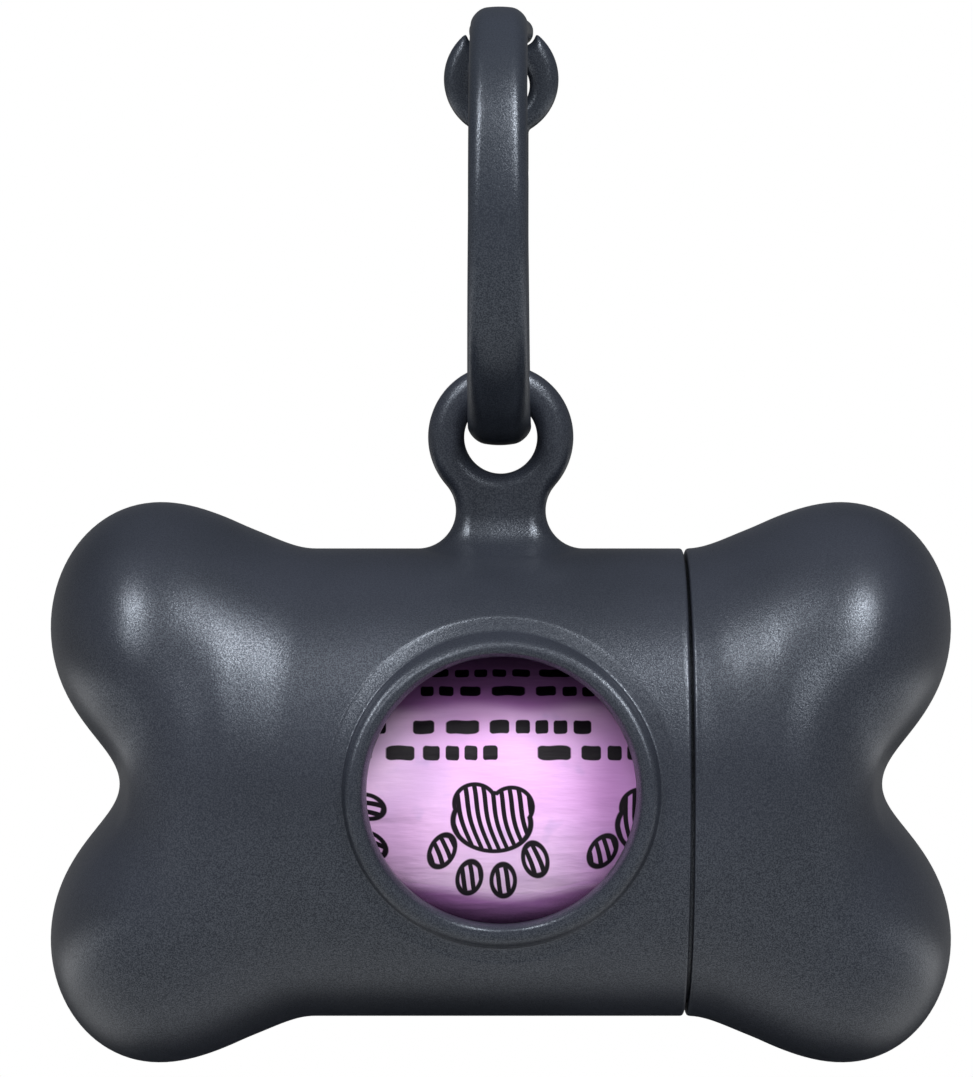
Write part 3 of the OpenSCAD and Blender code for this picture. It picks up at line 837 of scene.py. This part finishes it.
# The floor lies well under the hanging part and fades into the backdrop.
FLOOR_Z, FLOOR_R, FLOOR_N = -0.30, 1.45, 96
floor_me = bpy.data.meshes.new("floor")
turns = np.linspace(0, 2 * math.pi, FLOOR_N + 1)[:-1]
ring = [(FLOOR_R * math.cos(a), FLOOR_R * math.sin(a), FLOOR_Z) for a in turns]
floor_me.from_pydata(ring, [], [list(range(FLOOR_N))])
floor = bpy.data.objects.new("floor", floor_me)
scene.collection.objects.link(floor)
m = Paint("floor")
tree = m.tree
at = m.node("ShaderNodeTexCoord").outputs["Object"]
grain = m.noise(at, 30, 3.0)
m.set(Base_Color=m.mix(grain, (0.2, 0.2, 0.2, 1), (0.24, 0.24, 0.24, 1)))
m.set(Roughness=0.8, Specular_IOR_Level=0.2)
# Painted shadow: behind the part the floor's glow and colour are painted dark in a wedge, seen only in
# reflections. To reflections the floor glows, painted brighter out to the sides. To the camera all of it is
# white.
xy = m.node("ShaderNodeSeparateXYZ", Vector=at)
across, along = V(tree, xy.outputs[0]).abs(), V(tree, xy.outputs[1])
painted_shadow = along.step(0.03, 0.15) * (across / along.max(0.02)).step(0.5, 0.9, 1.0, 0.0)
camera, mirror = seen_by(tree)
dist = m.node("ShaderNodeVectorMath", Vector=at)
dist.operation = "LENGTH"
dist = V(tree, dist.outputs["Value"])
reflected_glow_level = across.step(0.3, 0.85) * 1.5 + dist.step(0.36, 0.6, 0.38, 0.22)
glow = m.node("ShaderNodeEmission", Color=(1, 1, 1, 1), Strength=((1 - painted_shadow) * reflected_glow_level).max(camera * 0.72))
painted_shadow_tone = (1 - painted_shadow).max(camera) * 0.3
tone = m.node("ShaderNodeCombineColor", Red=painted_shadow_tone, Green=painted_shadow_tone, Blue=painted_shadow_tone)
soft_floor = m.node("ShaderNodeBsdfDiffuse", Color=tone.outputs[0])
seen = m.node("ShaderNodeAddShader")
tree.links.new(glow.outputs[0], seen.inputs[0])
tree.links.new(soft_floor.outputs[0], seen.inputs[1])
# Far out the floor glows alone, so that it meets the backdrop without an edge.
far_glow = m.node("ShaderNodeEmission", Color=(1, 1, 1, 1), Strength=((1 - painted_shadow) * 0.75).max(camera))
fade = dist.step(0.5, 1.35)
near_far = m.node("ShaderNodeMixShader")
m.put(near_far.inputs[0], fade)
tree.links.new(seen.outputs[0], near_far.inputs[1])
tree.links.new(far_glow.outputs[0], near_far.inputs[2])
final = m.node("ShaderNodeMixShader")
m.put(final.inputs[0], camera.max(mirror))
tree.links.new(m.bsdf.outputs[0], final.inputs[1])
tree.links.new(near_far.outputs[0], final.inputs[2])
tree.links.new(final.outputs[0], tree.nodes["Material Output"].inputs[0])
floor_me.materials.append(m.mat)
